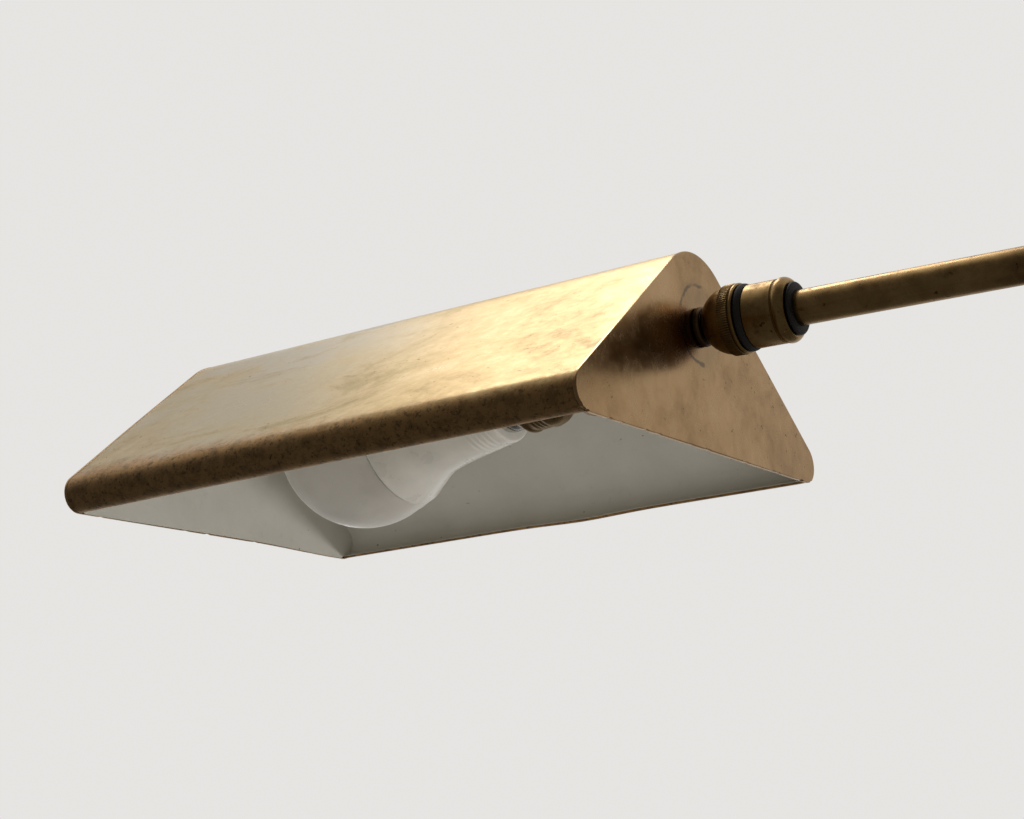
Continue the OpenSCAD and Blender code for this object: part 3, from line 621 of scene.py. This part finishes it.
def add_sheet(bm, outset, inset, dents):
    """Bent sheet between two insets of the section, with a rounded lip and a slight hand-worked unevenness."""
    outer, inner = section(outset), section(inset)
    count = 64
    rows = []
    for i in range(count + 1):
        x = FAR_IN + (NEAR_IN - FAR_IN) * i / count
        at_end = i in (0, count)
        row = []
        for k, (y, z) in enumerate(outer):
            step = Vector((inner[k][0] - y, inner[k][1] - z)).normalized()
            swell = noise.noise(Vector((x * 0.017, y * 0.02, z * 0.02)))
            dent = 0.12 * dents if at_end else max(0.0, 0.10 + 0.16 * swell) * dents
            if k in (0, len(outer) - 1):
                dent += 0.12 * dents
            row.append(bm.verts.new(on_shade(x, y + step.x * dent, z + step.y * dent)))
        for k in range(len(inner) - 1, -1, -1):
            row.append(bm.verts.new(on_shade(x, *inner[k])))
        rows.append(row)
    size = len(rows[0])
    for a, b in zip(rows, rows[1:]):
        for k in range(size):
            bm.faces.new([a[k], a[(k + 1) % size], b[(k + 1) % size], b[k]])
    for row in (rows[0], rows[-1]):
        for k in range(len(outer) - 1):
            bm.faces.new([row[k], row[k + 1], row[size - 2 - k], row[size - 1 - k]])


def add_plate(bm, inset, profile, hole, seed, nicks):
    """Flat plate across the section. profile gives (inset, x) from one face to the other, hole is the radius of
    its round hole or 0, seed places the wear along its lower edge and nicks sets how deep it is."""
    outline = section(inset)
    side = outline[0][0]
    loop = outline + [(-side + 2 * side * i / EDGE_STEPS, 0.0) for i in range(1, EDGE_STEPS)]
    middle = Vector((0, 30))
    size, ends, around = len(loop), 7, 48
    made = []
    for ease, x in profile:
        ring = []
        for k, (y, z) in enumerate(loop):
            nick = 0.0
            if k < ends or k > len(outline) - ends:
                coarse = noise.noise(Vector((y * 0.35, seed, 0.0)))
                wear = coarse + 0.6 * noise.noise(Vector((y * 1.1, seed, 4.0)))
                nick = max(0.0, wear - 0.22) * nicks
            p = Vector((y, z)) + (middle - Vector((y, z))).normalized() * ease
            ring.append(bm.verts.new(on_shade(x, p.x, p.y + nick)))
        made.append(ring)
    for a, b in zip(made, made[1:]):
        for k in range(size):
            bm.faces.new([a[k], a[(k + 1) % size], b[(k + 1) % size], b[k]])
    circles = []
    for ring, (_, x) in ((made[0], profile[0]), (made[-1], profile[-1])):
        edges = [bm.edges.get((ring[k], ring[(k + 1) % size])) for k in range(size)]
        if hole:
            circle = []
            for k in range(around):
                a = 2 * math.pi * k / around
                circle.append(bm.verts.new(DROOP @ Vector((x, hole * math.cos(a), ARM_Z + hole * math.sin(a)))))
            edges += [bm.edges.new((circle[k], circle[(k + 1) % around])) for k in range(around)]
            circles.append(circle)
        bmesh.ops.triangle_fill(bm, use_beauty=True, edges=edges)
    if hole:
        for k in range(around):
            j = (k + 1) % around
            bm.faces.new([circles[0][k], circles[0][j], circles[1][j], circles[1][k]])


def end_profile(inner, outer):
    """Rounded edge of an end plate, from its inner face to its outer one."""
    out = 1 if outer > inner else -1
    return [
        (0.14, inner), (0, inner + out * 0.16),
        (0, outer - out * 0.32), (0.1, outer - out * 0.1), (0.34, outer),
    ]


PLATE_HOLE, ENAMEL_HOLE = 5.05, 17.5
NEAR_SEED, FAR_SEED = 1.7, 6.1
bm = bmesh.new()
add_sheet(bm, 0.0, SHEET, 1.0)
finish_piece("shade_sheet", bm, "shade", ["shade_shell"], shade_brass)
bm = bmesh.new()
add_plate(bm, 0.0, end_profile(NEAR_IN, PLATE_X), PLATE_HOLE, NEAR_SEED, 0.9)
finish_piece("near_end_plate", bm, "shade", ["near_plate"], plate_brass, 14)
bm = bmesh.new()
add_plate(bm, 0.0, end_profile(FAR_IN, FAR_X), 0, FAR_SEED, 0.9)
finish_piece("far_end_plate", bm, "shade", ["far_plate"], plate_brass, 14)
bm = bmesh.new()
add_sheet(bm, SHEET, SHEET + COAT, 0.0)
add_plate(bm, SHEET, [(0.3, NEAR_IN), (0.3, NEAR_IN - COAT)], ENAMEL_HOLE, NEAR_SEED, 0.3)
add_plate(bm, SHEET, [(0.3, FAR_IN), (0.3, FAR_IN + COAT)], 0, FAR_SEED, 0.3)
finish_piece("enamel_coat", bm, "shade", ["shade_enamel"], enamel, 30)

# ---------------------------------------------------------------- ball coupling

BALL_R, CAP_R = 9.2, 10.9


def dome_points(r, start, end, n):
    """Points of a sphere around the ball's centre, by angle from the shade side, as (radius, distance from
    the plate)."""
    steps = [math.radians(start + (end - start) * i / n) for i in range(n + 1)]
    return [(r * math.sin(a), BALL_TO_PLATE - r * math.cos(a)) for a in steps]


cap_loop = (
    dome_points(CAP_R, 31.5, 81, 16)
    + [(10.8, 10.8), (11.05, 10.9), (11.3, 11.15), (11.3, 14.25), (11.05, 14.5)]
    + [(10.72, 14.6), (10.72, 14.8), (11.08, 14.9), (11.2, 15.15), (11.2, 15.55), (11.0, 15.9), (10.75, 16.0)]
    + [(9.95, 16.0), (9.95, BALL_TO_PLATE)]
    + dome_points(BALL_R + 0.05, 88, 31.5, 12)
)
turned("look_knurled_cap", ON_ARM, cap_loop, "cap", coupling_brass, segments=360,
       grip=(10.95, 14.45, 11.0, 0.42, 92, 0.12), ease=0.07)
body_loop = (
    [(0.6, 22.0), (3.0, 22.0), (9.0, 14.6), (9.9, 13.0), (9.9, 18.6), (9.75, 18.6), (10.1, 18.95)]
    + [(10.1, 28.2), (9.98, 28.35), (9.72, 28.5), (9.72, 28.7)]
    + arc(7.75, 30.2, 2.6, -30, 65, 14)
    + [(6.65, 32.55), (6.65, 26.5), (3.0, 26.5), (0.6, 26.5)]
)
turned("look_coupling_body", ON_ARM, body_loop, "coupling", coupling_brass,
       segments=128, ease=0.1)
gasket_loop = [
    (9.9, 16.3), (10.4, 16.3), (10.65, 16.6), (10.7, 17.1), (10.6, 17.6), (10.35, 18.1), (10.15, 18.6),
    (9.9, 18.6),
]
turned("look_coupling_gasket", ON_ARM, gasket_loop, "coupling", gasket_black, segments=128)
bushing_loop = [
    (ARM_R, ARM_FROM), (6.6, ARM_FROM), (6.6, 32.86), (8.0, 32.86), (8.25, 33.1), (8.3, 33.6), (8.05, 33.95),
    (7.0, 34.16), (ARM_R, 34.16),
]
turned("look_arm_bushing", ON_ARM, bushing_loop, "arm", gasket_black, ease=0.15)
stud_loop = (
    [(1.9, -13.0), (4.6, -13.0), (5.0, -12.5)]
    + [p for i in range(12) for p in ((5.0, -12.3 + i), (4.6, -11.8 + i))]
    + [(5.0, 0.0), (5.0, 2.3), (3.4, 2.3), (3.0, 2.9), (3.0, 3.7)]
    + dome_points(BALL_R, 19, 168, 40)
    + [(1.9, 21.4)]
)
turned("look_ball_stud", ON_STUD, stud_loop, "stud", stud_brass, ease=0.1)
bm = bmesh.new()
turn(bm, ON_STUD, eased([(5.0, 0.3), (6.2, 0.3), (6.4, 0.5), (6.4, 1.7), (5.9, 2.3), (5.0, 2.3)], 0.2), 96)
turn(bm, ON_STUD, eased([(5.0, -4.0), (8.0, -4.0), (8.0, -3.0), (5.0, -3.0)], 0.3), 96)
finish_piece("look_stud_washers", bm, "stud", ["stud_washers"], stud_brass)

# ---------------------------------------------------------------- arm and knuckle

bore = ARM_R - 0.9
along = [(ARM_R, 60 + 20 * i) for i in range(1, int((ARM_TO - 60) / 20))]
arm_loop = [(bore, ARM_FROM), (ARM_R, ARM_FROM), (ARM_R, 60)] + along + [(ARM_R, ARM_TO), (bore, ARM_TO)]
turned("look_arm_tube", ON_ARM, arm_loop, "arm", arm_brass, ease=0.15)
refined("arm_knuckle", "arm", knuckle_brass, 0.35)
refined("fork", "turret", knuckle_brass, 0.35)
swivel_loop = [
    (0, -52), (INNER_R, -52), (INNER_R, -60), (8.2, -60), (9, -58), (9, -50), (8, -48), (8, -46), (9.5, -44),
    (9.5, -38), (4, -38), (4, -17.5), (0, -17.5),
]
turned("look_swivel_base", ON_FLOOR, [(r, ARM_Z + h) for r, h in swivel_loop],
       "riser", knob_brass, ease=0.3)

# ---------------------------------------------------------------- lampholder and bulb

refined("holder_cup", "shade", holder_brass, 0.2)
shell_loop = (
    [(4.9, CUP + 3), (7.5, CUP + 3), (8.5, CUP + 4), (14.2, CUP + 9), (15.2, CUP + 10.6), (15.7, CUP + 12.6)]
    + [(15.7, MOUTH - 9.9), (15.4, MOUTH - 9.3), (14.95, MOUTH - 8.6)]
    + [p for i in range(3) for p in ((15.3, MOUTH - 8 + 1.5 * i), (14.95, MOUTH - 7.25 + 1.5 * i))]
    + arc(14.6, MOUTH - 2.1, 0.9, -70, 90, 8)
    + [(14.2, MOUTH - 1.2), (14.2, CUP + 10.4), (8.2, CUP + 5), (4.9, CUP + 5)]
)
turned("look_lampholder_shell", ON_HOLDER, shell_loop, "shade", holder_brass,
       segments=128, ease=0.2)
# the dome and the cone by (radius, distance from the dome's centre back towards the plate)
dome_rim = [(28.05, 11.6), (27.4, 13.6), (26.75, 15.6), (26.5, 16.1), (25.6, 16.1), (26.4, 12.9)]
dome = arc(0, 0, 30, -90, 19, 40) + dome_rim + arc(0, 0, 29, 19, -90, 30)
dome_loop = [(r, DOME_AT - d) for r, d in dome]
turned("look_bulb_dome", ON_HOLDER, dome_loop, "bulb", frosted_dome, segments=128, ease=0.1)
cone_outer = [
    (26.35, 16.2), (26.55, 16.4), (26.55, 16.75), (26.1, 17.2), (25.2, 18.7), (23.6, 21.6), (22.2, 23.9),
    (20.9, 26.3), (19.8, 28.9), (19.15, 31.5), (18.75, 33.5), (18.45, 35.4), (18.05, 38), (17.75, 40.8),
    (17.5, 43.6), (17.2, 46.5),
]
ribs = [p for i in range(5) for p in ((17.15 - 0.15 * i, 47.5 + 1.9 * i), (16.8 - 0.15 * i, 48.2 + 1.9 * i))]
cone_inner = [
    (14.5, 57), (15.4, 46), (16.0, 40), (16.7, 35), (17.5, 31.5), (19.2, 26.3), (22.0, 21.5), (24.9, 16.25),
]
cone_end = [(16.35, 57.6), (16.2, 58.5), (15.7, 59), (11, 59), (11, 57)]
cone_loop = [(r, DOME_AT - d) for r, d in cone_outer + ribs + cone_end + cone_inner]
screw_loop = [(12.3, NECK - 18.4), (12.7, NECK - 18.4)]
screw_loop += [(13.1, NECK - 18 + 0.3 * i) for i in range(59)] + [(13.1, NECK), (12.3, NECK)]
turned("look_bulb_screw_base", ON_HOLDER, screw_loop, "bulb", nickel,
       thread=(NECK - 17, NECK - 2, 12.9, 0.7, 3.63), ease=0.1)
turned("look_bulb_cone", ON_HOLDER, cone_loop, "bulb", bulb_plastic, segments=128, ease=0.12)

# ---------------------------------------------------------------- pole

bore = OUTER_R - 1.4
along = [(OUTER_R, 60 + 35 * i) for i in range(20)]
outer_loop = [(bore, 38), (OUTER_R, 38)] + along + [(OUTER_R, TUBE_TOP), (bore, TUBE_TOP)]
turned("look_outer_tube", ON_FLOOR, outer_loop, "base", pole_brass, ease=0.15)
bore, inner_top = INNER_R - 1, ARM_Z - 52
along = [(INNER_R, 460 + 35 * i) for i in range(18)]
inner_loop = [(bore, 430), (INNER_R, 430)] + along + [(INNER_R, inner_top), (bore, inner_top)]
turned("look_inner_tube", ON_FLOOR, inner_loop, "riser", pole_brass, ease=0.15)
foot_loop = (
    [(5, 30), (21, 30), (21, 32)] + arc(21, 39, 7, 270, 180, 12)
    + [(14, 42), (15, 43.5), (14, 45), (12, 50), (OUTER_R, 51), (OUTER_R, 38), (5, 38)]
)
turned("look_foot_collar", ON_FLOOR, foot_loop, "base", base_brass, ease=0.4)
refined("lock_collar", "base", base_brass, 0.25)
refined("dimmer_housing", "base", base_brass, 0.3)
lock_loop = [
    (0, 6.65), (1.6, 6.65), (2, 7.1), (2, 14), (4, 14), (4, 17), (7.4, 17), (8, 17.6), (8, 23.4), (7.4, 24),
    (6.5, 24), (6.2, 25.0), (5.6, 25.2), (0, 25.2),
]
turned("look_lock_screw", ON_SCREW, lock_loop, "height_screw", knob_brass,
       segments=216, grip=(17.3, 23.7, 7.5, 0.5, 36, 0), ease=0.12)
dimmer_loop = [
    (0, 17), (2.8, 17), (3, 17.3), (3, 27.4), (8, 27.4), (8, 29), (9.0, 29), (9.5, 29.6), (9.5, 37.4),
    (9.0, 38), (8, 38), (7.8, 38.9), (7.2, 39.2), (0, 39.2),
]
turned("look_dimmer_knob", ON_DIMMER, dimmer_loop, "dimmer", knob_brass,
       segments=240, grip=(29.3, 37.7, 9.1, 0.5, 40, 0), ease=0.12)
tilt_loop = [
    (3.05, 7.1), (5.5, 7.1), (5.5, 9.3), (9.0, 9.3), (9.5, 9.9), (9.5, 16.7), (9.0, 17.3), (8, 17.3),
    (7.8, 18.2), (7.2, 18.5), (0, 18.5), (0, 16.2), (3.05, 16.2),
]
turned("look_tilt_knob", ON_PIN, tilt_loop, "tilt_clamp", knob_brass,
       segments=240, grip=(9.6, 17.0, 9.1, 0.5, 40, 0), ease=0.12)
refined("tilt_nut", "turret", knob_brass, 0.3)

# ---------------------------------------------------------------- base

refined("base_cover", "base", base_brass, 0.25)

# ---------------------------------------------------------------- carried-over CAD nodes

FINISHES = {
    "base_felt": felt, "base_weight": iron, "base_nut": steel, "base_washer": steel, "base_nipple": steel,
    "cord_gland": black_plastic, "guide_bush": white_plastic, "dimmer_module": black_plastic,
    "swivel_clip": steel, "tilt_pin": steel, "tilt_washer": black_plastic, "stud_nut": steel,
    "backing_disc": plate_brass, "holder_nipple": steel, "lampholder_liner": insulation,
    "screw_shell": contact_brass, "centre_contact": contact_brass, "socket_base": insulation,
    "bulb_insulator": black_glass, "bulb_contact": nickel, "led_board": board,
}
for node, material in FINISHES.items():
    slots = frame["nodes"][node].material_slots
    if not slots:
        frame["nodes"][node].data.materials.append(material)
    for slot in slots:
        slot.material = material

# ---------------------------------------------------------------- stage and light

floor_look = Tree("floor_paper")
paper = floor_look.mix(floor_look.noise(2.5, 4, 0.6), (0.78, 0.775, 0.76), (0.81, 0.805, 0.79))
floor_look.set(Base_Color=paper, Roughness=0.9)
floor_look.set(Emission_Color=(1.0, 0.985, 0.96, 1.0), Emission_Strength=0.16)
bm = bmesh.new()
bmesh.ops.create_circle(bm, cap_ends=True, radius=14.0, segments=128)
floor_mesh = bpy.data.meshes.new("floor")
bm.to_mesh(floor_mesh)
bm.free()
floor = bpy.data.objects.new("floor", floor_mesh)
scene.collection.objects.link(floor)
floor_mesh.materials.append(floor_look.material)
floor.visible_glossy = False
SHADE_MIDDLE = Vector((-0.4, 0, 1.12))


def softbox(name, direction, distance, width, height, power, colour, spread=180):
    """A soft panel that faces the shade from the given direction."""
    data = bpy.data.lights.new(name, "AREA")
    data.shape = "RECTANGLE"
    data.size = width
    data.size_y = height
    data.energy = power
    data.color = colour
    data.spread = math.radians(spread)
    lamp = bpy.data.objects.new(name, data)
    lamp.location = SHADE_MIDDLE + Vector(direction).normalized() * distance
    lamp.rotation_euler = (SHADE_MIDDLE - lamp.location).to_track_quat("-Z", "Y").to_euler()
    lamp.visible_camera = False
    scene.collection.objects.link(lamp)
    return lamp


softbox("key", (-0.38, 0.36, 0.85), 2.2, 0.8, 0.7, 8, (1.0, 0.96, 0.90))
fill = softbox("fill", (0.45, -0.7, -0.5), 1.3, 1.2, 1.2, 0.5, (1.0, 0.94, 0.85), spread=110)
fill.visible_glossy = False
under = softbox("under", (0.60, 0.72, -0.30), 1.4, 0.3, 0.3, 1.0, (0.97, 0.98, 1.0), spread=60)
under.visible_glossy = False

# the studio: a plain pale backdrop to look at, and light that is dim in front and bright behind and above
world = bpy.data.worlds.new("studio")
scene.world = world
world.use_nodes = True
wn, wl = world.node_tree.nodes, world.node_tree.links
wn.clear()
world_out = wn.new("ShaderNodeOutputWorld")
seen = wn.new("ShaderNodeBackground")
seen.inputs["Color"].default_value = (0.79, 0.78, 0.762, 1)
lit = wn.new("ShaderNodeBackground")
path = wn.new("ShaderNodeLightPath")
choose = wn.new("ShaderNodeMixShader")
wl.new(path.outputs["Is Camera Ray"], choose.inputs[0])
wl.new(lit.outputs[0], choose.inputs[1])
wl.new(seen.outputs[0], choose.inputs[2])
wl.new(choose.outputs[0], world_out.inputs[0])
direction = wn.new("ShaderNodeTexCoord")
back = wn.new("ShaderNodeVectorMath")
back.operation = "DOT_PRODUCT"
wl.new(direction.outputs["Generated"], back.inputs[0])
back.inputs[1].default_value = (-0.42, 0.70, 0.58)
glow = wn.new("ShaderNodeValToRGB")
wl.new(back.outputs["Value"], glow.inputs[0])
stops = glow.color_ramp.elements
stops[0].position, stops[0].color = 0.0, (0.085, 0.082, 0.078, 1)
stops[1].position, stops[1].color = 0.85, (0.74, 0.73, 0.71, 1)
for at, grey in ((0.3, 0.18), (0.52, 0.62)):
    stop = stops.new(at)
    stop.color = (grey, grey * 0.985, grey * 0.955, 1)
wl.new(glow.outputs[0], lit.inputs["Color"])
lit.inputs["Strength"].default_value = 0.85

scene.view_settings.view_transform = "Standard"
